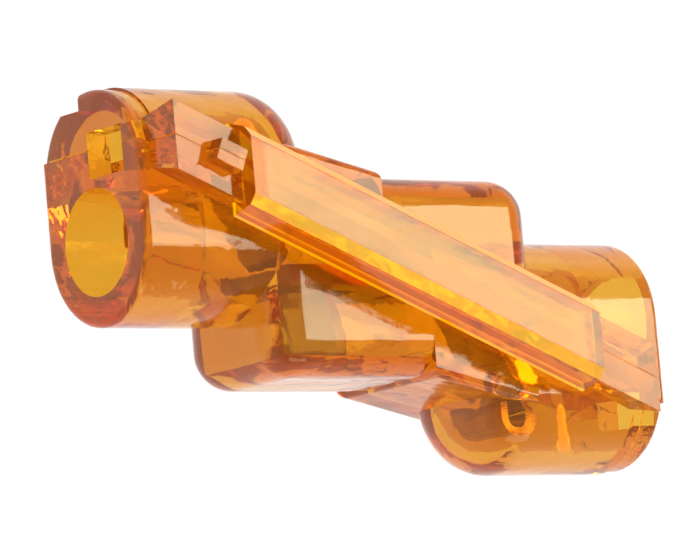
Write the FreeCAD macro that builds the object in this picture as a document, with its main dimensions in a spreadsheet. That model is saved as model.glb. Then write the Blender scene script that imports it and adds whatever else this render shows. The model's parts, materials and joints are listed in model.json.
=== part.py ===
import FreeCAD, Part
import math
import os
import re
import Sketcher

# In-line splice for two insulated wires, in one clear amber shell.
# The shell is two halves that meet on a diagonal plane and are held by a rail that slides over a
# dovetail flange.  The right half is the left one after half a turn, but for the ends of its
# flange and the end that its nub is at.  Inside, a bus bar lies between the wires, and a leaf
# spring in each tail grips one wire against it.
#
# Frame: X runs along both wires, Y across them in the plane of the springs, Z up through the
# rail.  The origin is on the surface that the splice lies on, below the centre of the shell.
# The sketches are drawn about the shell's middle plane, which is MID_HEIGHT above that surface.

SIZES = {
    # both halves of the shell
    "half_length": 13.0,
    "half_width": 3.45,
    "wall": 0.95,
    "foot_rise": 0.35,
    "joint_angle": 22.5,
    "seam_gap": 0.04,
    # barrel that takes the wire, and the collar at its mouth
    "barrel_offset": 1.65,
    "bore_radius": 2.2,
    "bore_depth": 3.4,
    "collar_length": 1.1,
    "edge_round": 0.3,
    # test window above the mouth, on the front
    "window_low": 4.2,
    "window_high": 6.1,
    "window_back": 0.1,
    "window_front": 2.3,
    # lobe behind the barrel
    "lobe_end": 6.95,
    "lobe_reach": 4.13,
    "lobe_round": 1.6,
    # sloping shoulder between the lobe and the tail
    "shoulder_start": 1.0,
    "shoulder_reach": 4.2,
    "shoulder_angle": 13.5,
    "shoulder_round": 0.4,
    # tail that covers the other half's barrel and holds the spring
    "tail_start": 4.1,
    "tail_reach": 7.93,
    "tail_round": 2.1,
    # end of the tail: a little smaller than the rest, with a flat step low on its back
    "collar_inset": 0.1,
    "step_reach": 7.08,
    "step_front": 0.5,
    # dovetail flange on the front of the joint, and the flat foot on its back
    "flange_left": 12.5,
    "flange_right": 11.1,
    "flange_top": 5.3,
    "flange_half_width": 1.3,
    "flange_neck": 0.92,
    "root_depth": 0.35,
    "foot_half_width": 1.6,
    "foot_reach": 9.2,
    # nub that stops the rail
    "nub_centre": 11.15,
    "nub_length": 1.3,
    "nub_half_width": 0.45,
    "nub_rise": 0.7,
    # locking rail
    "rail_left": 9.4,
    "rail_right": 7.65,
    "rail_slip": 0.06,
    "rail_foot": 4.5,
    "rail_top": 6.1,
    "rail_crown_half_width": 1.08,
    "rail_bevel_half_width": 1.46,
    "rail_bevel_drop": 0.4,
    "rail_foot_half_width": 1.74,
    # bus bar, with a lanced tab that stops each wire
    "bus_half_length": 5.45,
    "bus_half_thickness": 0.42,
    "bus_side_gap": 0.03,
    "tab_root": 3.1,
    "tab_height": 2.3,
    "tab_lean": 0.85,
    "tab_thickness": 0.55,
    "tab_half_width": 1.0,
    "lance_length": 2.0,
    # leaf springs
    "spring_thickness": 0.3,
    "spring_half_width": 1.45,
    "tip_gap": 0.266,
    "finger_angle": 61.5,
    "finger_root_x": 7.1,
    "spring_drop": 1.68,
    "bend_radius": 0.62,
    "bend_gap": 0.06,
    "leg_drop": 0.3,
}

OVERSHOOT = 1.0      # how far a cutting tool runs past the face it cuts
REACH = 9.0          # height across the joint that every half is first drawn to, then trimmed

MID_HEIGHT = "half_width + foot_rise"
FLANGE_ROOT = "(half_width - root_depth)"
FINGER_ROOT_Y = "(tail_reach - wall - spring_drop)"
FINGER_LENGTH = f"({FINGER_ROOT_Y} - bus_half_thickness - tip_gap) / sin(finger_angle)"

doc = FreeCAD.newDocument("Splice")
sheet = doc.addObject("Spreadsheet::Sheet", "Sizes")
for row, (alias, number) in enumerate(SIZES.items(), start=1):
    sheet.set(f"A{row}", alias)
    sheet.set(f"B{row}", str(number))
    sheet.setAlias(f"B{row}", alias)
doc.recompute()


def sized(formula):
    """Point each alias in a formula at the sheet."""
    return re.sub(r"[a-z_]+", lambda word: "Sizes." + word[0] if word[0] in SIZES else word[0], formula)


def bind(thing, prop, formula):
    thing.setExpression(prop, sized(formula))


# ---------------------------------------------------------------- sketches

def add_sketch(body, role, name, offset="0"):
    """Sketch on one of the body's origin planes, moved along that plane's normal."""
    sketch = body.newObject("Sketcher::SketchObject", name)
    plane = [item for item in body.Origin.OriginFeatures if item.Role == role][0]
    sketch.AttachmentSupport = [(plane, "")]
    sketch.MapMode = "FlatFace"
    bind(sketch, "AttachmentOffset.Base.z", offset)
    return sketch


def constrain(sketch, *parts, formula=None):
    number = sketch.addConstraint(Sketcher.Constraint(*parts))
    if formula is not None:
        bind(sketch, f"Constraints[{number}]", formula)


def pin_point(sketch, curve, corner, across, up):
    """Fix a curve's start (1), end (2) or centre (3) at formulas measured from the origin."""
    here = sketch.getPoint(curve, corner)
    constrain(sketch, "DistanceX", -1, 1, curve, corner, here.x, formula=across)
    constrain(sketch, "DistanceY", -1, 1, curve, corner, here.y, formula=up)


def draw_polygon(sketch, corners):
    """Closed outline of straight lines through (across, up) formulas."""
    count = len(corners)
    turns = [2 * math.pi * k / count for k in range(count)]
    start = [FreeCAD.Vector(math.cos(turn), math.sin(turn), 0) for turn in turns]
    for k in range(count):
        sketch.addGeometry(Part.LineSegment(start[k], start[(k + 1) % count]), False)
    for k in range(count):
        constrain(sketch, "Coincident", k, 2, (k + 1) % count, 1)
        pin_point(sketch, k, 1, *corners[k])


def draw_trough(sketch, centre, radius, top):
    """U outline: a half circle about (centre, 0) whose straight sides run on to top."""
    circle = Part.Circle(FreeCAD.Vector(0, 0, 0), FreeCAD.Vector(0, 0, 1), 2)
    corners = [FreeCAD.Vector(0, -2, 0), FreeCAD.Vector(9, -2, 0),
               FreeCAD.Vector(9, 2, 0), FreeCAD.Vector(0, 2, 0)]
    sketch.addGeometry(Part.ArcOfCircle(circle, math.pi / 2, 3 * math.pi / 2), False)
    for k in range(3):
        sketch.addGeometry(Part.LineSegment(corners[k], corners[k + 1]), False)
    for k in range(4):
        constrain(sketch, "Coincident", k, 2, (k + 1) % 4, 1)
    constrain(sketch, "Vertical", 0, 1, 0, 3)
    constrain(sketch, "Vertical", 0, 2, 0, 3)
    constrain(sketch, "Horizontal", 1)
    constrain(sketch, "Horizontal", 3)
    constrain(sketch, "Vertical", 2)
    pin_point(sketch, 0, 3, centre, "0")
    constrain(sketch, "Radius", 0, 2.0, formula=radius)
    constrain(sketch, "DistanceX", -1, 1, 2, 1, 9.0, formula=top)


# ---------------------------------------------------------------- features

def add_body(name):
    return doc.addObject("PartDesign::Body", name)


def pad(body, sketch, length, along=None):
    """Pad a sketch by a length measured along its normal, square to it or along a direction."""
    feature = body.newObject("PartDesign::Pad", sketch.Name + "Pad")
    feature.Profile = sketch
    bind(feature, "Length", length)
    if along is not None:
        feature.UseCustomVector = True
        feature.AlongSketchNormal = True
        for axis, formula in zip("xyz", along):
            bind(feature, f"Direction.{axis}", formula)
    doc.recompute()
    return feature


def pocket(body, sketch, length):
    """Cut a sketch's outline out of the body on the side its normal points away from."""
    feature = body.newObject("PartDesign::Pocket", sketch.Name + "Pocket")
    feature.Profile = sketch
    bind(feature, "Length", length)
    before = body.Shape.Volume
    doc.recompute()
    if body.Shape.Volume >= before:
        raise RuntimeError(f"{sketch.Name} cuts nothing")
    return feature


def round_edges(body, base, radius, wanted):
    """Fillet every edge of a feature whose bounding box passes a test."""
    names = [f"Edge{k}" for k, edge in enumerate(base.Shape.Edges, start=1) if wanted(edge.BoundBox)]
    feature = body.newObject("PartDesign::Fillet", base.Name + "Round")
    feature.Base = (base, names)
    bind(feature, "Radius", radius)
    doc.recompute()
    return feature


def prism(name, role, offset, corners, length):
    """Body padded from one polygon."""
    body = add_body(name)
    sketch = add_sketch(body, role, name + "Outline", offset)
    draw_polygon(sketch, corners)
    pad(body, sketch, length)
    return body


def trough(name, start, end, centre, radius):
    """Body of U section between two places along X, open side up."""
    body = add_body(name)
    sketch = add_sketch(body, "YZ_Plane", name + "Section", start)
    draw_trough(sketch, centre, radius, str(REACH))
    pad(body, sketch, f"({end}) - ({start})")
    return body


def block(name, low, high):
    """Box between two corners given as formulas."""
    box = doc.addObject("Part::Box", name)
    for side, axis, first, last in zip(("Length", "Width", "Height"), "xyz", low, high):
        bind(box, f"Placement.Base.{axis}", first)
        bind(box, side, f"({last}) - ({first})")
    return box


def fuse(name, pieces):
    joined = doc.addObject("Part::MultiFuse", name)
    joined.Shapes = pieces
    joined.Refine = True
    return joined


def cut(name, base, tool):
    result = doc.addObject("Part::Cut", name)
    result.Base = base
    result.Tool = tool
    result.Refine = True
    return result


def finish(piece, label, turned=False):
    """Name the sub-part and stand it on the surface, turned half round for the right-hand one."""
    piece.Label = label
    bind(piece, "Placement.Base.z", MID_HEIGHT)
    if turned:
        piece.Placement.Rotation = FreeCAD.Rotation(FreeCAD.Vector(0, 0, 1), 180)
    finished.append(piece)


finished = []


# ---------------------------------------------------------------- the two halves of the shell

COLLAR_START = "half_length - collar_length"
TAIL_CENTRE = "half_width - tail_reach"
INNER_HALF_WIDTH = "half_width - wall"
ALONG_JOINT = ("cos(joint_angle)", "-sin(joint_angle)", "0")


def joint_height(reach):
    """Y of the joint plane at a distance to the left of the centre."""
    return f"({reach}) * tan(joint_angle)"


def across_joint(reach, distance):
    """Y of a point that lies a distance square to the joint plane, at a place to the left."""
    return f"{joint_height(reach)} + ({distance}) / cos(joint_angle)"


def outer_barrel(side):
    barrel = trough(side + "Barrel", f"-({COLLAR_START})", "-tail_start", "barrel_offset", "half_width")
    collar = trough(side + "Collar", "-half_length", f"-({COLLAR_START})", "barrel_offset", "half_width")
    mouth = -SIZES["half_length"]
    round_edges(collar, collar.Tip, "edge_round",
                lambda box: box.XMax < mouth + 0.01 and box.YMin < REACH - 0.01)
    return [barrel, collar]


def outer_lobe(side):
    """Rounded block behind the barrel."""
    corners = [("-lobe_end", "-lobe_reach"), ("shoulder_start + lobe_round", "-lobe_reach"),
               ("shoulder_start + lobe_round", str(REACH)), ("-lobe_end", str(REACH))]
    body = prism(side + "Lobe", "XY_Plane", "-half_width", corners, "2 * half_width")
    low = -SIZES["lobe_reach"]
    left = -SIZES["lobe_end"]
    round_edges(body, body.Tip, "lobe_round",
                lambda box: (box.YMax < low + 0.01 or box.XMax < left + 0.01)
                and box.YMin < REACH - 0.01 and box.XMin < -0.01)
    return body


def shoulder_corners(inset, start, end):
    """Outline of the shoulder, drawn inside its own outer face by an inset."""
    slope = "tan(shoulder_angle)"
    low = f"shoulder_reach - ({inset}) / cos(shoulder_angle)"
    return [(start, f"-({low}) - (({start}) - shoulder_start) * {slope}"),
            (end, f"-({low}) - (({end}) - shoulder_start) * {slope}"),
            (end, str(REACH)), (start, str(REACH))]


def outer_shoulder(side):
    corners = shoulder_corners("0", "shoulder_start", "tail_start + tail_round")
    body = prism(side + "Shoulder", "XY_Plane", "-half_width", corners, "2 * half_width")
    left = SIZES["shoulder_start"]
    round_edges(body, body.Tip, "shoulder_round",
                lambda box: box.YMax < 0 and box.XMin < left + 0.01)
    return body


def outer_tail(side):
    tail = trough(side + "Tail", "tail_start", COLLAR_START, TAIL_CENTRE, "half_width")
    inner = SIZES["tail_start"]
    round_edges(tail, tail.Tip, "tail_round",
                lambda box: box.XMax < inner + 0.01 and box.YMin < REACH - 0.01)
    collar = trough(side + "TailCollar", COLLAR_START, "half_length", TAIL_CENTRE,
                    "half_width - collar_inset")
    mouth = SIZES["half_length"]
    round_edges(collar, collar.Tip, "edge_round",
                lambda box: box.XMin > mouth - 0.01 and box.YMin < REACH - 0.01)
    return [tail, collar]


def inner_space(side):
    """Everything cut out of a half: wire bore, chambers, both end windows and the tail's step."""
    bore = doc.addObject("Part::Cylinder", side + "Bore")
    bore.Placement.Rotation = FreeCAD.Rotation(FreeCAD.Vector(0, 1, 0), 90)
    bind(bore, "Placement.Base.x", f"-half_length - {OVERSHOOT}")
    bind(bore, "Placement.Base.y", "barrel_offset")
    bind(bore, "Radius", "bore_radius")
    bind(bore, "Height", f"bore_depth + {OVERSHOOT}")
    channel = trough(side + "Channel", "bore_depth - half_length", "-lobe_end + wall + lobe_round",
                     "barrel_offset", INNER_HALF_WIDTH)
    lobe = block(side + "LobeSpace", ("-lobe_end + wall", "-lobe_reach + wall", f"-({INNER_HALF_WIDTH})"),
                 ("tail_start", str(REACH), INNER_HALF_WIDTH))
    corners = shoulder_corners("wall", "shoulder_start + wall", "tail_start + wall + tail_round")
    shoulder = prism(side + "ShoulderSpace", "XY_Plane", f"-({INNER_HALF_WIDTH})", corners,
                     f"2 * ({INNER_HALF_WIDTH})")
    tail = trough(side + "TailSpace", "tail_start + wall", COLLAR_START, TAIL_CENTRE, INNER_HALF_WIDTH)
    inner = SIZES["tail_start"] + SIZES["wall"]
    round_edges(tail, tail.Tip, "tail_round - wall",
                lambda box: box.XMax < inner + 0.01 and box.YMin < REACH - 0.01)
    mouth_window = block(side + "MouthWindow",
                         (f"-half_length - {OVERSHOOT}", "window_low", "-window_back"),
                         (f"-({COLLAR_START})", str(REACH), "window_front"))
    tail_window = block(side + "TailWindow", (COLLAR_START, "-window_high", "-window_back"),
                        (f"half_length + {OVERSHOOT}", str(REACH), "window_front"))
    step = block(side + "Step",
                 (COLLAR_START, f"-tail_reach - {OVERSHOOT}", f"-half_width - {OVERSHOOT}"),
                 (f"half_length + {OVERSHOOT}", "-step_reach", "-step_front"))
    return fuse(side + "Space", [bore, channel, lobe, shoulder, tail, mouth_window, tail_window, step])


def beyond_joint(side):
    """Everything on the far side of the joint plane, less half the seam's gap."""
    box = doc.addObject("Part::Box", side + "BeyondJoint")
    bind(box, "Length", "4 * half_length")
    bind(box, "Width", f"4 * {REACH}")
    bind(box, "Height", f"4 * {REACH}")
    bind(box, "Placement.Base.x", "-2 * half_length * cos(joint_angle) - seam_gap / 2 * sin(joint_angle)")
    bind(box, "Placement.Base.y", "2 * half_length * sin(joint_angle) - seam_gap / 2 * cos(joint_angle)")
    bind(box, "Placement.Base.z", f"-2 * {REACH}")
    box.Placement.Rotation = FreeCAD.Rotation(FreeCAD.Vector(0, 0, 1), -1)
    bind(box, "Placement.Rotation.Angle", "-joint_angle")
    return box


def strip(name, reach, far, section):
    """Body that runs beside the joint plane, from (square distance, height) corners of its section."""
    body = add_body(name)
    sketch = add_sketch(body, "YZ_Plane", name + "Section", f"-({reach})")
    draw_polygon(sketch, [(across_joint(reach, distance), height) for distance, height in section])
    pad(body, sketch, f"({reach}) + ({far})", ALONG_JOINT)
    return body


def seam_strips(side, reach, far):
    """Half of the dovetail flange on the front, and half of the foot on the back."""
    flange = strip(side + "Flange", reach, far,
                   [("-flange_half_width", "flange_top"), ("-seam_gap / 2", "flange_top"),
                    ("-seam_gap / 2", FLANGE_ROOT), ("-flange_neck", FLANGE_ROOT)])
    foot = strip(side + "Foot", "foot_reach", "foot_reach",
                 [("-foot_half_width", f"-({MID_HEIGHT})"), ("-seam_gap / 2", f"-({MID_HEIGHT})"),
                  ("-seam_gap / 2", f"-{FLANGE_ROOT}"), ("-foot_half_width", f"-{FLANGE_ROOT}")])
    return [flange, foot]


def half_nub(side, place):
    """This half's share of the nub on the flange: place is -1 at the barrel's end, 1 at the tail's."""
    nub = doc.addObject("Part::Box", side + "Nub")
    start = f"({place} * nub_centre - nub_length / 2)"
    bind(nub, "Length", "nub_length")
    bind(nub, "Width", "nub_half_width - seam_gap / 2")
    bind(nub, "Height", f"nub_rise + flange_top - {FLANGE_ROOT}")
    bind(nub, "Placement.Base.x", f"{start} * cos(joint_angle) - nub_half_width * sin(joint_angle)")
    bind(nub, "Placement.Base.y", f"-{start} * sin(joint_angle) - nub_half_width * cos(joint_angle)")
    bind(nub, "Placement.Base.z", FLANGE_ROOT)
    nub.Placement.Rotation = FreeCAD.Rotation(FreeCAD.Vector(0, 0, 1), -1)
    bind(nub, "Placement.Rotation.Angle", "-joint_angle")
    return nub


def add_housing(side, label, turned):
    nub_place = 1 if turned else -1
    ends = ("flange_right", "flange_left") if turned else ("flange_left", "flange_right")
    solid = outer_barrel(side) + [outer_lobe(side), outer_shoulder(side)] + outer_tail(side)
    cup = cut(side + "Cup", fuse(side + "Solid", solid), inner_space(side))
    trimmed = cut(side + "Trimmed", cup, beyond_joint(side))
    housing = fuse(side + "Housing", [trimmed, half_nub(side, nub_place)] + seam_strips(side, *ends))
    finish(housing, label, turned)


# ---------------------------------------------------------------- locking rail

def add_rail():
    """Channel of clear plastic that grips the dovetail flange, and slides off to the right."""
    lean = f"(flange_half_width - flange_neck) / (flange_top - {FLANGE_ROOT})"
    lip = f"flange_neck + (rail_foot - {FLANGE_ROOT}) * {lean} + rail_slip"
    groove = f"flange_half_width + rail_slip * (1 + {lean})"
    half = [("rail_foot_half_width", "rail_foot"),
            ("rail_bevel_half_width", "rail_top - rail_bevel_drop"),
            ("rail_crown_half_width", "rail_top")]
    inside = [(groove, "flange_top + rail_slip"), (lip, "rail_foot")]
    section = half + [(f"-({distance})", height) for distance, height in reversed(half)]
    section += [(f"-({distance})", height) for distance, height in reversed(inside)]
    section += inside
    rail = strip("Rail", "rail_left", "rail_right", section)
    finish(rail, "locking_rail")


# ---------------------------------------------------------------- bus bar

def add_bus_bar():
    """Flat bar between the two wires, with a tab lanced up for one wire and down for the other."""
    width = "half_width - wall - bus_side_gap"
    body = prism("BusBar", "XY_Plane", f"-({width})",
                 [("-bus_half_length", "-bus_half_thickness"), ("bus_half_length", "-bus_half_thickness"),
                  ("bus_half_length", "bus_half_thickness"), ("-bus_half_length", "bus_half_thickness")],
                 f"2 * ({width})")
    for name, sign in (("UpperTab", 1), ("LowerTab", -1)):
        hole = add_sketch(body, "XZ_Plane", name + "Lance", "bus_half_thickness")
        draw_polygon(hole, [(f"{sign} * (tab_root - lance_length)", "-tab_half_width"),
                            (f"{sign} * (tab_root - tab_thickness)", "-tab_half_width"),
                            (f"{sign} * (tab_root - tab_thickness)", "tab_half_width"),
                            (f"{sign} * (tab_root - lance_length)", "tab_half_width")])
        pocket(body, hole, "2 * bus_half_thickness")
        tab = add_sketch(body, "XY_Plane", name, "-tab_half_width")
        top = f"{sign} * (bus_half_thickness + tab_height)"
        draw_polygon(tab, [(f"{sign} * (tab_root - tab_thickness)", "0"), (f"{sign} * tab_root", "0"),
                           (f"{sign} * (tab_root - tab_lean)", top),
                           (f"{sign} * (tab_root - tab_lean - tab_thickness)", top)])
        pad(body, tab, "2 * tab_half_width")
    finish(body, "bus_bar")


# ---------------------------------------------------------------- leaf springs

def add_finger(side, label, turned):
    """Straight leaf that bears on the wire, round at the end where it leaves the bend."""
    body = add_body(side + "Finger")
    sketch = add_sketch(body, "XY_Plane", side + "FingerOutline", "-spring_half_width")
    root = ("-finger_root_x", FINGER_ROOT_Y)
    side_x = "spring_thickness / 2 * sin(finger_angle)"
    side_y = "spring_thickness / 2 * cos(finger_angle)"
    tip = (f"{root[0]} + {FINGER_LENGTH} * cos(finger_angle)",
           f"{root[1]} - {FINGER_LENGTH} * sin(finger_angle)")
    centre = FreeCAD.Vector(-7, 5.6, 0)
    sketch.addGeometry(Part.ArcOfCircle(Part.Circle(centre, FreeCAD.Vector(0, 0, 1), 0.15), 0.5, 3.64), False)
    ends = [sketch.Geometry[0].EndPoint, FreeCAD.Vector(-5, 0, 0), FreeCAD.Vector(-4, 0, 0),
            sketch.Geometry[0].StartPoint]
    for k in range(3):
        sketch.addGeometry(Part.LineSegment(ends[k], ends[k + 1]), False)
    for k in range(4):
        constrain(sketch, "Coincident", k, 2, (k + 1) % 4, 1)
    pin_point(sketch, 0, 3, *root)
    pin_point(sketch, 1, 1, f"{root[0]} - {side_x}", f"{root[1]} - {side_y}")
    pin_point(sketch, 2, 1, f"{tip[0]} - {side_x}", f"{tip[1]} - {side_y}")
    pin_point(sketch, 3, 1, f"{tip[0]} + {side_x}", f"{tip[1]} + {side_y}")
    constrain(sketch, "DistanceY", -1, 1, 3, 2, ends[3].y, formula=f"{root[1]} + {side_y}")
    pad(body, sketch, "2 * spring_half_width")
    finish(body, label, turned)


def add_clip(side, label, turned):
    """Bend of the spring, whose other leg stands against the end wall of the tail."""
    body = add_body(side + "Clip")
    sketch = add_sketch(body, "XY_Plane", side + "ClipOutline", "-spring_half_width")
    centre = ("-finger_root_x + bend_radius * sin(finger_angle)",
              f"{FINGER_ROOT_Y} + bend_radius * cos(finger_angle)")
    free_end = "(270 - finger_angle - (spring_thickness / 2 + bend_gap) / bend_radius * 180 / pi)"
    radii = ("bend_radius + spring_thickness / 2", "bend_radius - spring_thickness / 2")
    middle = FreeCAD.Vector(-6.5, 5.6, 0)
    for radius in (0.8, 0.5):
        circle = Part.Circle(middle, FreeCAD.Vector(0, 0, 1), radius)
        sketch.addGeometry(Part.ArcOfCircle(circle, 0, 3.4), False)
    outer, inner = sketch.Geometry
    ends = [outer.StartPoint, FreeCAD.Vector(-5.7, 5, 0), FreeCAD.Vector(-6, 5, 0), inner.StartPoint]
    for k in range(3):
        sketch.addGeometry(Part.LineSegment(ends[k], ends[k + 1]), False)
    sketch.addGeometry(Part.LineSegment(outer.EndPoint, inner.EndPoint), False)
    for first, end, second, begin in ((0, 1, 2, 1), (2, 2, 3, 1), (3, 2, 4, 1), (4, 2, 1, 1),
                                      (0, 2, 5, 1), (1, 2, 5, 2)):
        constrain(sketch, "Coincident", first, end, second, begin)
    for arc, radius in enumerate(radii):
        pin_point(sketch, arc, 3, *centre)
        constrain(sketch, "Horizontal", arc, 1, arc, 3)
        constrain(sketch, "Radius", arc, (0.8, 0.5)[arc], formula=radius)
        constrain(sketch, "DistanceY", -1, 1, arc, 2, sketch.getPoint(arc, 2).y,
                  formula=f"{centre[1]} + ({radius}) * sin({free_end})")
    constrain(sketch, "Vertical", 2)
    constrain(sketch, "Vertical", 4)
    constrain(sketch, "Horizontal", 3)
    constrain(sketch, "DistanceY", -1, 1, 3, 1, 5.0, formula=f"{FINGER_ROOT_Y} - leg_drop")
    pad(body, sketch, "2 * spring_half_width")
    finish(body, label, turned)


# ---------------------------------------------------------------- the splice

add_housing("Left", "housing_left", False)
add_housing("Right", "housing_right", True)
add_rail()
add_bus_bar()
for side, turned in (("left", False), ("right", True)):
    add_clip(side.title(), "spring_clip_" + side, turned)
    add_finger(side.title(), "spring_finger_" + side, turned)
doc.recompute()

for item in doc.Objects:
    if "Invalid" in item.State or "Error" in item.State:
        raise RuntimeError(f"{item.Name} failed: {item.State}")

os.makedirs("parts", exist_ok=True)
for piece in finished:
    if piece.Shape.isNull() or not piece.Shape.isValid():
        raise RuntimeError(f"{piece.Label} has no valid shape")
    piece.Shape.exportStep(f"parts/{piece.Label}.step")
    box = piece.Shape.BoundBox
    print(f"{piece.Label:20s} {piece.Shape.Volume:9.2f} mm3  {len(piece.Shape.Solids)} solid  "
          f"X {box.XMin:.2f} {box.XMax:.2f}  Y {box.YMin:.2f} {box.YMax:.2f}  Z {box.ZMin:.2f} {box.ZMax:.2f}")
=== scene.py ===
import json
import math

import bmesh
import bpy
from bpy.props import FloatProperty, FloatVectorProperty, PointerProperty
from mathutils import Matrix, Vector


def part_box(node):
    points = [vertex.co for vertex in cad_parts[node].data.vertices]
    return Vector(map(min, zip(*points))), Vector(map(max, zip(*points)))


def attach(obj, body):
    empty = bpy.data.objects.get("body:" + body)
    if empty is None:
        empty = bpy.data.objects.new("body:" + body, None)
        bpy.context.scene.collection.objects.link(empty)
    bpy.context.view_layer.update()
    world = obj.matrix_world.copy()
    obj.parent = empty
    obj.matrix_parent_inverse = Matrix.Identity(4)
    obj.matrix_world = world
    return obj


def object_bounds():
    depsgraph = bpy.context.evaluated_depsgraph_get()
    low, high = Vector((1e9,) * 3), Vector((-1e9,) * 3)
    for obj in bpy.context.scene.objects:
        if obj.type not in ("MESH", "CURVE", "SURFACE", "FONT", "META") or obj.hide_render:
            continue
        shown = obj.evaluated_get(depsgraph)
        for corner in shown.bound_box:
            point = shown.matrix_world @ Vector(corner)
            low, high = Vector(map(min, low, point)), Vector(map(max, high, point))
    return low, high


bl_info = {
    "name": "Wire Splice",
    "version": (1, 0, 0),
    "blender": (4, 5, 0),
    "location": "View3D > Sidebar > Splice",
    "description": "Dresses a clear amber in-line wire splice and its studio",
    "category": "Object",
}

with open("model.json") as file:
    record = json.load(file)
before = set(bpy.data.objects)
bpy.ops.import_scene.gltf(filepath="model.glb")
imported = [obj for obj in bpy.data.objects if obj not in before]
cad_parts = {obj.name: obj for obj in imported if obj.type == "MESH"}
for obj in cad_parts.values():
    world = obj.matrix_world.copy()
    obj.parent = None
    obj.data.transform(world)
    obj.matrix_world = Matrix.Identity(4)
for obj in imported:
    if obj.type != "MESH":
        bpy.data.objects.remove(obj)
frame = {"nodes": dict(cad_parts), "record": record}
CAD_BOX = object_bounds()
SHELL_HALVES = ("housing_left", "housing_right")
RAIL_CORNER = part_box("locking_rail")[0]      # its left end and its foot
SLIDE_AXIS = next(tuple(joint["axis"]) for joint in frame["record"]["behaviour"]["joints"]
                  if joint["name"] == "rail_slide")
SPRING_STRIPS = ("spring_clip_left", "spring_clip_right",
                 "spring_finger_left", "spring_finger_right")


# ---------------------------------------------------------------- shader maths

class Value:
    """A socket that Python expressions work on: each operator adds its Math node."""

    def __init__(self, tree, socket):
        self.tree = tree
        self.socket = socket

    def math(self, operation, first, second):
        return self.tree.add("ShaderNodeMath", {"operation": operation}, {0: first, 1: second})

    def __add__(self, other):
        return self.math("ADD", self, other)

    def __radd__(self, other):
        return self.math("ADD", other, self)

    def __sub__(self, other):
        return self.math("SUBTRACT", self, other)

    def __rsub__(self, other):
        return self.math("SUBTRACT", other, self)

    def __mul__(self, other):
        return self.math("MULTIPLY", self, other)

    def __rmul__(self, other):
        return self.math("MULTIPLY", other, self)


class Nodes:
    """A node tree under construction.  Noise scales count features for each metre."""

    def __init__(self, tree):
        self.tree = tree

    def add(self, kind, settings=None, inputs=None, output=0):
        """Make one node: its settings first, then the values and links of its sockets."""
        node = self.tree.nodes.new(kind)
        for name, setting in (settings or {}).items():
            if name == "stops":
                self.set_stops(node, setting)
            else:
                setattr(node, name, setting)
        for name, given in (inputs or {}).items():
            if isinstance(given, Value):
                self.tree.links.new(given.socket, node.inputs[name])
            else:
                node.inputs[name].default_value = given
        return Value(self, node.outputs[output])

    def set_stops(self, node, stops):
        elements = node.color_ramp.elements
        while len(elements) < len(stops):
            elements.new(0.5)
        for element, (place, grey) in zip(elements, stops):
            element.position = place
            element.color = (grey, grey, grey, 1)

    def place(self, stretch=(1, 1, 1)):
        """Metres in the part's own frame, stretched along each axis."""
        here = self.add("ShaderNodeTexCoord", output="Object")
        return self.add("ShaderNodeMapping", None, {"Vector": here, "Scale": stretch})

    def noise(self, place, scale, detail=3.0, distortion=0.0):
        """Cloudy grey value."""
        return self.add("ShaderNodeTexNoise", None,
                        {"Vector": place, "Scale": scale,
                         "Detail": detail, "Distortion": distortion})

    def ramp(self, value, *stops):
        """Grey value that follows (place, grey) stops."""
        return self.add("ShaderNodeValToRGB", {"stops": stops}, {"Fac": value})

    def blend(self, share, first, second):
        """Colour between two colours."""
        return self.add("ShaderNodeMix", {"data_type": "RGBA"}, {0: share, 6: first, 7: second}, 2)

    def measure(self, place, direction):
        """How far a place lies along a direction of length 1."""
        return self.add("ShaderNodeVectorMath", {"operation": "DOT_PRODUCT"},
                        {0: place, 1: direction}, 1)

    def larger(self, first, second):
        return self.add("ShaderNodeMath", {"operation": "MAXIMUM"}, {0: first, 1: second})

    def bump(self, height, depth):
        return self.add("ShaderNodeBump", None,
                        {"Height": height, "Distance": depth, "Strength": 1.0})


class Finish(Nodes):
    """A material made of nodes."""

    def __init__(self, name):
        self.material = bpy.data.materials.new(name)
        self.material.use_nodes = True
        super().__init__(self.material.node_tree)
        self.tree.nodes.clear()

    def close(self, surface, volume=None):
        """Feed the output, and give the finished material."""
        output = self.tree.nodes.new("ShaderNodeOutputMaterial")
        self.tree.links.new(surface.socket, output.inputs["Surface"])
        if volume is not None:
            self.tree.links.new(volume.socket, output.inputs["Volume"])
        return self.material


# ---------------------------------------------------------------- finishes

# Painted light on the rail follows which way each face points: the crown gets a painted sheen, the
# bevels a painted highlight; the rim, left end band and foot line follow the ramps below.
CROWN_SLOPES = ((0.80, 0.0), (0.92, 1.0))    # how far a face points up, and its share of the crown
BEVEL_SLOPES = ((0.30, 0.0), (0.50, 1.0))
RIM = 0.9                                    # where on its ramp the crown's rim lies
RIM_STOPS = ((0.83, 0.0), (0.88, 1.0))
BAND_EDGE = 0.5                              # where on its ramp a band ends
BAND_STOPS = ((0.40, 1.0), (0.60, 0.0))


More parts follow.
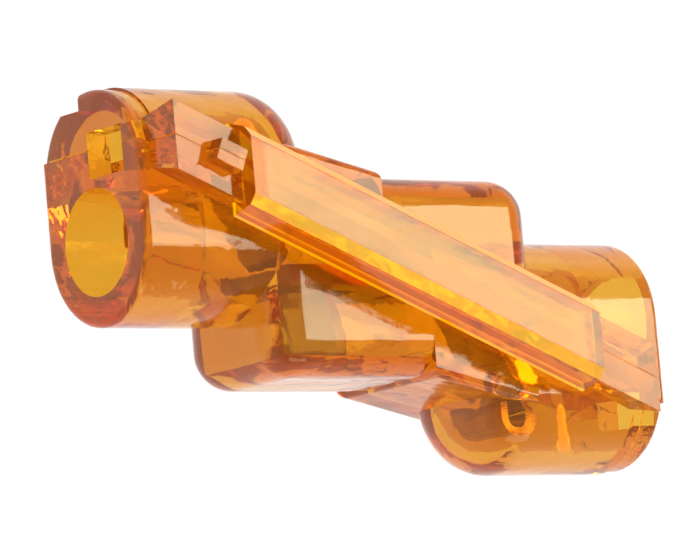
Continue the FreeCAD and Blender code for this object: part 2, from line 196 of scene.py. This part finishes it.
def rail_light_masks(finish, place, rail):
    """Shares of the rail's crown (painted sheen), its bevels (painted highlight), its crown's rim
    with the left end (painted shade), and its foot (painted highlight line).
    """
    normal = finish.add("ShaderNodeTexCoord", output="Normal")
    up = finish.measure(normal, (0, 0, 1))
    crown = finish.ramp(up, *CROWN_SLOPES)
    bevel = finish.ramp(up, *BEVEL_SLOPES)
    sideways = (-SLIDE_AXIS[1], SLIDE_AXIS[0], 0)
    across = finish.measure(place, sideways) * (RIM / rail.crown_half_width)
    off_centre = finish.add("ShaderNodeMath", {"operation": "ABSOLUTE"}, {0: across})
    long_edge = finish.ramp(off_centre, *RIM_STOPS)
    inward = finish.measure(place, (1, 0, 0)) - RAIL_CORNER[0]
    end = finish.ramp(inward * (BAND_EDGE / rail.end_shade_band), *BAND_STOPS)
    rise = finish.measure(place, (0, 0, 1)) - RAIL_CORNER[2]
    foot = finish.ramp(rise * (BAND_EDGE / rail.foot_highlight_line), *BAND_STOPS)
    return crown, bevel, crown * finish.larger(long_edge, end), foot


FLOW = (0.35, 1, 1)          # streaks are drawn out along the wires, the way the plastic flowed
RIPPLE_SHARE = 0.25          # height of the fine ripples beside the long swirls
SMUDGE_DULLING = 0.35        # share of the gloss that a smudge takes away
SMUDGE_ROUGHNESS = 0.07
FLANK_GLOSS = 0.12           # share of the crown's gloss that the rail's sides keep
RIM_DULLING = 0.8            # share of the gloss that the crown's rim loses


def moulded_amber(name, looks, waviness, rail=None, glow=None):
    """Polished clear plastic: it deepens with thickness, and its faces are faintly wavy. Every face
    gives off a faint painted glow, and on the rail painted sheen, highlights and shade follow which
    way each face points.
    """
    finish = Finish(name)
    place = finish.place()
    swirl = finish.noise(finish.place(FLOW), 260.0, 2.0, 0.8)
    ripple = finish.noise(place, 900.0, 2.0, 0.2)
    smudge = finish.ramp(finish.noise(place, 420.0, 4.0, 0.4), (0.45, 0.0), (0.75, 1.0))
    tint = finish.blend(swirl, (*looks.clear_tint, 1), (*looks.deep_tint, 1))
    # Each face gets the faint painted glow unless another painted glow is given.
    glow = (*(glow or looks.painted_glow_colour), 1)
    gloss = looks.gloss * (1 - SMUDGE_DULLING * smudge)
    if rail is not None:
        crown, bevel, rim, foot = rail_light_masks(finish, place, rail)
        # The bevels and the foot line get a painted highlight and a painted glow.
        lit = finish.larger(bevel, foot)
        # The crown gets a painted sheen, streaked like the rest of the amber.
        crown_sheen_tint = finish.blend(swirl, (*looks.crown_sheen_tint, 1), (*looks.clear_tint, 1))
        # The flanks get painted shade, the bevels and foot line a painted highlight.
        lit_and_shaded_side_tint = finish.blend(lit, (*looks.flank_shade_tint, 1), (*looks.bevel_highlight_tint, 1))
        side_painted_glow = finish.blend(lit, (*looks.painted_glow_colour, 1), (*looks.painted_bevel_glow, 1))
        # The crown's rim and left end get painted shade under a painted glow.
        sheen_and_shade_top_tint = finish.blend(rim, crown_sheen_tint, (*looks.edge_shade_tint, 1))
        top_painted_glow = finish.blend(rim, (*looks.painted_glow_colour, 1), (*looks.painted_edge_glow, 1))
        tint = finish.blend(crown, lit_and_shaded_side_tint, sheen_and_shade_top_tint)
        glow = finish.blend(crown, side_painted_glow, top_painted_glow)
        gloss = gloss * (FLANK_GLOSS + (1 - FLANK_GLOSS) * crown) * (1 - RIM_DULLING * rim)
    normal = finish.bump(swirl + RIPPLE_SHARE * ripple, waviness)
    surface = finish.add("ShaderNodeBsdfPrincipled", {"distribution": "MULTI_GGX"}, {
        "Base Color": tint,
        "Roughness": looks.roughness + SMUDGE_ROUGHNESS * smudge,
        "IOR": 1.33,
        "Transmission Weight": 0.94,
        # The emission is painted glow: the plastic is no lamp.
        "Emission Color": glow,
        "Emission Strength": 1.0,
        "Coat Weight": gloss,
        "Coat Roughness": 0.09,
        "Coat IOR": 1.5,
        "Normal": normal,
    })
    inside = finish.add("ShaderNodeVolumeAbsorption", None,
                        {"Color": (*looks.absorbed_to, 1), "Density": looks.density})
    return finish.close(surface, inside)


def tinned_copper(looks):
    """Drawn bar whose tin plate is worn through to the copper in patches."""
    finish = Finish("tinned_copper")
    place = finish.place()
    grain = finish.noise(finish.place((1, 0.06, 1)), 6000.0, 2.0)
    worn = finish.ramp(finish.noise(place, 500.0, 4.0, 0.6), (0.45, 0.0), (0.62, 1.0))
    colour = finish.blend(worn, (*looks.tin, 1), (*looks.copper, 1))
    surface = finish.add("ShaderNodeBsdfPrincipled", None, {
        "Base Color": colour,
        "Metallic": 1.0,
        "Roughness": 0.22 + 0.18 * grain,
        "Normal": finish.bump(grain, 0.000004),
    })
    return finish.close(surface)


def spring_steel(looks):
    """Rolled strip with patches of heat bloom."""
    finish = Finish("spring_steel")
    place = finish.place()
    grain = finish.noise(finish.place((1, 1, 0.05)), 7000.0, 2.0)
    bloom = finish.ramp(finish.noise(place, 700.0, 3.0, 0.4), (0.4, 0.0), (0.7, 1.0))
    colour = finish.blend(bloom, (*looks.steel, 1), (*looks.steel_dark, 1))
    surface = finish.add("ShaderNodeBsdfPrincipled", None, {
        "Base Color": colour,
        "Metallic": 1.0,
        "Roughness": 0.18 + 0.16 * grain,
        "Normal": finish.bump(grain, 0.000003),
    })
    return finish.close(surface)


def dress(node, material):
    """Give a carried-over node its finish on every face."""
    slots = frame["nodes"][node].material_slots
    if not slots:
        raise RuntimeError(f"{node} has no material slot")
    for slot in slots:
        slot.material = material


# ---------------------------------------------------------------- settings

def colour(name, description, default):
    return FloatVectorProperty(name=name, description=description, subtype="COLOR",
                               size=3, min=0.0, max=1.0, default=default)


class AmberSettings(bpy.types.PropertyGroup):
    """Looks of the clear plastic"""

    clear_tint: colour("Clear tint", "Tint of the palest streaks", (0.79, 0.60, 0.12))
    deep_tint: colour("Deep tint", "Tint of the deepest streaks", (0.71, 0.38, 0.01))
    # Painted highlight: bright yellow on the rail's bevels and along its foot, where light is piped
    # out.
    bevel_highlight_tint: colour("Bevel tint", "Tint of the rail's bevels", (1.0, 0.80, 0.0))
    # Painted glow on the rail's bevels and foot line.
    painted_bevel_glow: colour("Bevel glow", "Light piped out along the rail's bevels", (0.42, 0.26, 0.0))
    # Painted glow: the tail ribs give off this light, standing in for light piped along them.
    painted_rib_glow: colour("Rib glow", "Light piped out along the tail ribs", (0.62, 0.34, 0.01))
    # Painted glow: every amber face gives off this faint light, standing in for light scattered in
    # the plastic.
    painted_glow_colour: colour("Haze", "Light that the plastic scatters at each face", (0.04, 0.010, 0.0006))
    # Painted sheen: a paler cream tint on the rail's upward-facing crown.
    crown_sheen_tint: colour("Crown tint", "Tint of the rail's crown", (0.66, 0.62, 0.16))
    # Painted shade: a deeper tint on the rail's flanks, the shaded copy beside the bevels' painted
    # highlight.
    flank_shade_tint: colour("Flank tint", "Tint of the rail's flanks", (0.80, 0.42, 0.01))
    # Painted shade: a deeper band along the rim and left end of the rail's crown.
    edge_shade_tint: colour("Edge tint", "Tint of the rim and left end of the rail's crown",
                      (0.80, 0.34, 0.01))
    # Painted glow along that rim and end.
    painted_edge_glow: colour("Edge glow", "Light piped out along that rim and end", (0.10, 0.025, 0.0))
    absorbed_to: colour("Depth colour", "Colour that light keeps on its way through",
                        (0.97, 0.66, 0.0))
    density: FloatProperty(name="Depth density", description="Absorption for each metre",
                           default=480.0, min=0.0)
    roughness: FloatProperty(name="Polish", description="Roughness of a clean face",
                             default=0.015, min=0.0, max=1.0, subtype="FACTOR")
    gloss: FloatProperty(name="Gloss", description="Share of the clear surface gloss",
                         default=0.22, min=0.0, max=1.0, subtype="FACTOR")
    shell_wave: FloatProperty(name="Shell waviness", description="Height of the shell's waves",
                              default=0.00014, min=0.0, unit="LENGTH")
    rail_wave: FloatProperty(name="Rail waviness", description="Height of the rail's waves",
                             default=0.00007, min=0.0, unit="LENGTH")


class MetalSettings(bpy.types.PropertyGroup):
    """Looks of the contacts"""

    tin: colour("Tin", "Tin plate", (0.34, 0.25, 0.20))
    copper: colour("Copper", "Copper where the plate is thin", (0.34, 0.13, 0.06))
    steel: colour("Spring steel", "Bright strip", (0.55, 0.42, 0.26))
    steel_dark: colour("Steel bloom", "Heat bloom on the strip", (0.36, 0.24, 0.13))


class RailSettings(bpy.types.PropertyGroup):
    """Where the painted sheen, highlights and shade on the rail lie"""

    # Painted shade: the deep band at the rail's left end.
    end_shade_band: FloatProperty(name="End band", description="Length of the deep band at the left end",
                            default=0.0006, min=0.0001, unit="LENGTH")
    crown_half_width: FloatProperty(name="Crown half width", description="Half the crown's width",
                                    default=0.00108, min=0.0001, unit="LENGTH")
    # Painted highlight: the bright line along the rail's foot.
    foot_highlight_line: FloatProperty(name="Foot line", description="Height of the foot's bright line",
                             default=0.00018, min=0.00001, unit="LENGTH")


class RibSettings(bpy.types.PropertyGroup):
    """Sizes of the rib in each tail"""

    tail_reach: FloatProperty(name="Tail reach", description="Centre to the tail's far side",
                              default=0.00793, min=0.0, unit="LENGTH")
    tail_wall: FloatProperty(name="Tail wall", description="Wall and the slip between it and a rib",
                             default=0.00097, min=0.0, unit="LENGTH")
    rib_place: FloatProperty(name="Rib place", description="Centre to the rib, along the wires",
                             default=0.0098, min=0.0, unit="LENGTH")
    rib_height: FloatProperty(name="Rib height", description="Height of the rib",
                              default=0.0021, min=0.0, unit="LENGTH")
    rib_half_width: FloatProperty(name="Rib half width", description="Half its width along the wire",
                                  default=0.00012, min=0.0, unit="LENGTH")
    rib_half_depth: FloatProperty(name="Rib half depth", description="Half the rib's depth",
                                  default=0.00022, min=0.0, unit="LENGTH")


class StudioSettings(bpy.types.PropertyGroup):
    """Floor, lights and camera"""

    floor_size: FloatProperty(name="Floor size", description="Side of the floor",
                              default=1.2, min=0.1, unit="LENGTH")
    floor_glow: FloatProperty(name="Floor glow", description="Light that the floor gives",
                              default=1.0, min=0.0)
    surround: FloatProperty(name="Surround", description="Brightness of the room",
                            default=0.5, min=0.0)
    softbox: FloatProperty(name="Softbox", description="Power of the large softbox",
                           default=0.78, min=0.0, unit="POWER")
    strip: FloatProperty(name="Strip light", description="Power of the low strip light",
                         default=0.12, min=0.0, unit="POWER")
    softbox_tone: colour("Softbox tone", "Colour of the large softbox", (0.86, 0.90, 0.66))
    strip_tone: colour("Strip tone", "Colour of the low strip light", (1.0, 0.88, 0.60))
    distance: FloatProperty(name="Camera distance", description="Camera to the splice's centre",
                            default=0.282, min=0.05, unit="LENGTH")
    lens: FloatProperty(name="Lens", description="Focal length in millimetres",
                        default=352.0, min=1.0)


# ---------------------------------------------------------------- moulded ribs

CORNER_STEPS = 5             # points round each corner of a rib's section
CORNER_SHARE = 0.8           # radius of those corners, as a share of the section's smaller half
STATIONS = 14                # sections from a rib's foot to its tip
FOOT_FLARE = 1.3             # extra width of a rib's foot, as a share of its width further up
TIP_START = 0.85             # where along a rib its tip starts to close
TIP_LEAST = 0.05             # least square of the tip's width, so that it ends in a small face


def round_section(half_x, half_z):
    """Points of a rounded rectangle in the XZ plane."""
    radius = CORNER_SHARE * min(half_x, half_z)
    points = []
    for quarter, (sign_x, sign_z) in enumerate(((1, 1), (-1, 1), (-1, -1), (1, -1))):
        for step in range(CORNER_STEPS):
            turn = math.pi / 2 * (quarter + step / (CORNER_STEPS - 1))
            points.append((sign_x * (half_x - radius) + radius * math.cos(turn),
                           sign_z * (half_z - radius) + radius * math.sin(turn)))
    return points


def add_rib(name, side, material, settings):
    """Slim rib that stands just off the roof of a tail and flares towards it."""
    foot = -side * (settings.tail_reach - settings.tail_wall)
    tip = foot + side * settings.rib_height
    work = bmesh.new()
    rings = []
    for station in range(STATIONS):
        share = station / (STATIONS - 1)
        flare = 1 + FOOT_FLARE * (1 - share) ** 4
        past_start = max(0.0, (share - TIP_START) / (1 - TIP_START))
        rounding = math.sqrt(max(TIP_LEAST, 1 - past_start ** 2))
        y = foot + (tip - foot) * share
        ring = [work.verts.new((side * settings.rib_place + x, y, CENTRE.z + z))
                for x, z in round_section(settings.rib_half_width * flare * rounding,
                                          settings.rib_half_depth * rounding)]
        rings.append(ring)
    count = len(rings[0])
    for lower, upper in zip(rings, rings[1:]):
        for k in range(count):
            work.faces.new((lower[k], lower[(k + 1) % count], upper[(k + 1) % count], upper[k]))
    work.faces.new(list(reversed(rings[0])))
    work.faces.new(rings[-1])
    bmesh.ops.recalc_face_normals(work, faces=work.faces)
    mesh = bpy.data.meshes.new(name)
    work.to_mesh(mesh)
    work.free()
    mesh.polygons.foreach_set("use_smooth", [True] * len(mesh.polygons))
    mesh.materials.append(material)
    rib = bpy.data.objects.new(name, mesh)
    bpy.context.scene.collection.objects.link(rib)
    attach(rib, "shell")


# ---------------------------------------------------------------- stage

CENTRE = Vector((0.0, 0.0, 0.0038))          # middle of the shell
VIEW_BACK = Vector((-0.60251, -0.12907, 0.78761))    # the camera's own axes
VIEW_RIGHT = Vector((0.79806, -0.08634, 0.59636))
VIEW_UP = Vector((-0.00897, 0.98787, 0.15502))
FRAMING = (-0.000354, 0.000237)              # how far the camera stands to its right and up
FLOOR_SLIP = 0.0004                          # floor below the lowest face
SENSOR_WIDTH = 36.0
KEY_TOWARDS = (0.60, 0.13, 0.79)             # the way from the splice to the lamp
KEY_SIZE = (0.16, 0.16)
STRIP_TOWARDS = (0.18, -0.90, 0.37)
STRIP_SIZE = (0.24, 0.06)
LAMP_DISTANCE = 0.30
MOST_BOUNCES = 32                            # light crosses many clear walls before it gets out


def add_softbox(name, direction, size, power, tone):
    """Rectangular lamp that faces the splice."""
    lamp = bpy.data.lights.new(name, "AREA")
    lamp.shape = "RECTANGLE"
    lamp.size, lamp.size_y = size
    lamp.energy = power
    lamp.color = tone
    holder = bpy.data.objects.new(name, lamp)
    towards = Vector(direction).normalized()
    holder.location = CENTRE + towards * LAMP_DISTANCE
    holder.rotation_euler = towards.to_track_quat("Z", "Y").to_euler()
    bpy.context.scene.collection.objects.link(holder)


def add_floor(size, glow):
    """White paper that gives the light that shines up through the splice."""
    mesh = bpy.data.meshes.new("studio_floor")
    work = bmesh.new()
    bmesh.ops.create_grid(work, x_segments=1, y_segments=1, size=size / 2)
    work.to_mesh(mesh)
    work.free()
    floor = bpy.data.objects.new("studio_floor", mesh)
    bpy.context.scene.collection.objects.link(floor)
    floor.location.z = CAD_BOX[0][2] - FLOOR_SLIP
    finish = Finish("studio_paper")
    fibre = finish.noise(finish.place(), 900.0, 3.0)
    surface = finish.add("ShaderNodeBsdfPrincipled", None, {
        "Base Color": finish.blend(fibre, (0.03, 0.03, 0.03, 1), (0.04, 0.04, 0.04, 1)),
        "Roughness": 0.9,
        "Emission Color": (1.0, 1.0, 0.995, 1),
        "Emission Strength": glow,
    })
    mesh.materials.append(finish.close(surface))


def light_room(brightness):
    """Room that is white at the horizon and dims towards the ceiling."""
    world = bpy.data.worlds.new("studio_room")
    world.use_nodes = True
    room = Nodes(world.node_tree)
    background = room.tree.nodes["Background"]
    rise = room.add("ShaderNodeSeparateXYZ", None,
                    {0: room.add("ShaderNodeTexCoord", output="Generated")}, 2)
    height = room.ramp(rise, (0.0, 0.0), (0.35, 1.0))
    ceiling = (brightness, 0.96 * brightness, 0.84 * brightness, 1)
    tone = room.blend(height, (1.0, 0.99, 0.975, 1), ceiling)
    room.tree.links.new(tone.socket, background.inputs["Color"])
    bpy.context.scene.world = world


def place_camera(distance, lens):
    """Camera on the VIEW_BACK side of the splice, which FRAMING places in the picture."""
    lens_data = bpy.data.cameras.new("studio_camera")
    lens_data.lens = lens
    lens_data.sensor_width = SENSOR_WIDTH
    lens_data.clip_start = 0.01
    lens_data.clip_end = 5.0
    camera = bpy.data.objects.new("studio_camera", lens_data)
    bpy.context.scene.collection.objects.link(camera)
    spot = CENTRE + VIEW_BACK * distance + VIEW_RIGHT * FRAMING[0] + VIEW_UP * FRAMING[1]
    turn = Matrix((VIEW_RIGHT, VIEW_UP, VIEW_BACK)).transposed()
    camera.matrix_world = Matrix.Translation(spot) @ turn.to_4x4()
    bpy.context.scene.camera = camera


# ---------------------------------------------------------------- operators

class SPLICE_OT_shell(bpy.types.Operator):
    """Dress both halves of the clear shell"""

    bl_idname = "splice.shell"
    bl_label = "Clear Shell"

    def execute(self, context):
        looks = context.scene.splice_amber
        material = moulded_amber("amber_shell", looks, looks.shell_wave)
        for node in SHELL_HALVES:
            dress(node, material)
        return {"FINISHED"}


class SPLICE_OT_ribs(bpy.types.Operator):
    """Stand a slim rib in each tail, with a painted glow"""

    bl_idname = "splice.ribs"
    bl_label = "Tail Ribs"

    def execute(self, context):
        scene = context.scene
        looks = scene.splice_amber
        # The ribs carry a strong painted glow.
        material = moulded_amber("amber_rib", looks, looks.rail_wave, glow=looks.painted_rib_glow)
        add_rib("tail_rib_right", 1, material, scene.splice_ribs)
        add_rib("tail_rib_left", -1, material, scene.splice_ribs)
        return {"FINISHED"}


class SPLICE_OT_rail(bpy.types.Operator):
    """Dress the locking rail"""

    bl_idname = "splice.rail"
    bl_label = "Locking Rail"

    def execute(self, context):
        scene = context.scene
        looks = scene.splice_amber
        material = moulded_amber("amber_rail", looks, looks.rail_wave, scene.splice_rail)
        dress("locking_rail", material)
        return {"FINISHED"}


class SPLICE_OT_bus_bar(bpy.types.Operator):
    """Dress the bus bar"""

    bl_idname = "splice.bus_bar"
    bl_label = "Bus Bar"

    def execute(self, context):
        dress("bus_bar", tinned_copper(context.scene.splice_metal))
        return {"FINISHED"}


class SPLICE_OT_springs(bpy.types.Operator):
    """Dress both leaf springs"""

    bl_idname = "splice.springs"
    bl_label = "Leaf Springs"

    def execute(self, context):
        material = spring_steel(context.scene.splice_metal)
        for node in SPRING_STRIPS:
            dress(node, material)
        return {"FINISHED"}


class SPLICE_OT_studio(bpy.types.Operator):
    """Lay the floor, light the room and place the camera"""

    bl_idname = "splice.studio"
    bl_label = "Studio"

    def execute(self, context):
        studio = context.scene.splice_studio
        add_floor(studio.floor_size, studio.floor_glow)
        light_room(studio.surround)
        add_softbox("softbox_key", KEY_TOWARDS, KEY_SIZE, studio.softbox, studio.softbox_tone)
        add_softbox("softbox_strip", STRIP_TOWARDS, STRIP_SIZE, studio.strip, studio.strip_tone)
        place_camera(studio.distance, studio.lens)
        context.scene.view_settings.view_transform = "Standard"
        context.scene.cycles.max_bounces = MOST_BOUNCES
        context.scene.cycles.transmission_bounces = MOST_BOUNCES
        return {"FINISHED"}


STEPS = (SPLICE_OT_shell, SPLICE_OT_ribs, SPLICE_OT_rail, SPLICE_OT_bus_bar, SPLICE_OT_springs,
         SPLICE_OT_studio)


class SPLICE_PT_sidebar(bpy.types.Panel):
    """Lists the splice's pieces and settings"""

    bl_idname = "SPLICE_PT_sidebar"
    bl_label = "Wire Splice"
    bl_space_type = "VIEW_3D"
    bl_region_type = "UI"
    bl_category = "Splice"

    def draw(self, context):
        for step in STEPS:
            self.layout.operator(step.bl_idname)
        for name in SETTINGS:
            group = getattr(context.scene, name)
            box = self.layout.box()
            for prop in group.__annotations__:
                box.prop(group, prop)


SETTINGS = {"splice_amber": AmberSettings, "splice_metal": MetalSettings,
            "splice_rail": RailSettings, "splice_ribs": RibSettings,
            "splice_studio": StudioSettings}
CLASSES = (*SETTINGS.values(), *STEPS, SPLICE_PT_sidebar)


def register():
    for item in CLASSES:
        bpy.utils.register_class(item)
    for name, group in SETTINGS.items():
        setattr(bpy.types.Scene, name, PointerProperty(type=group))


def unregister():
    for name in SETTINGS:
        delattr(bpy.types.Scene, name)
    for item in reversed(CLASSES):
        bpy.utils.unregister_class(item)


def main():
    register()
    bpy.ops.splice.shell()
    bpy.ops.splice.ribs()
    bpy.ops.splice.rail()
    bpy.ops.splice.bus_bar()
    bpy.ops.splice.springs()
    bpy.ops.splice.studio()


if __name__ == "__main__":
    main()
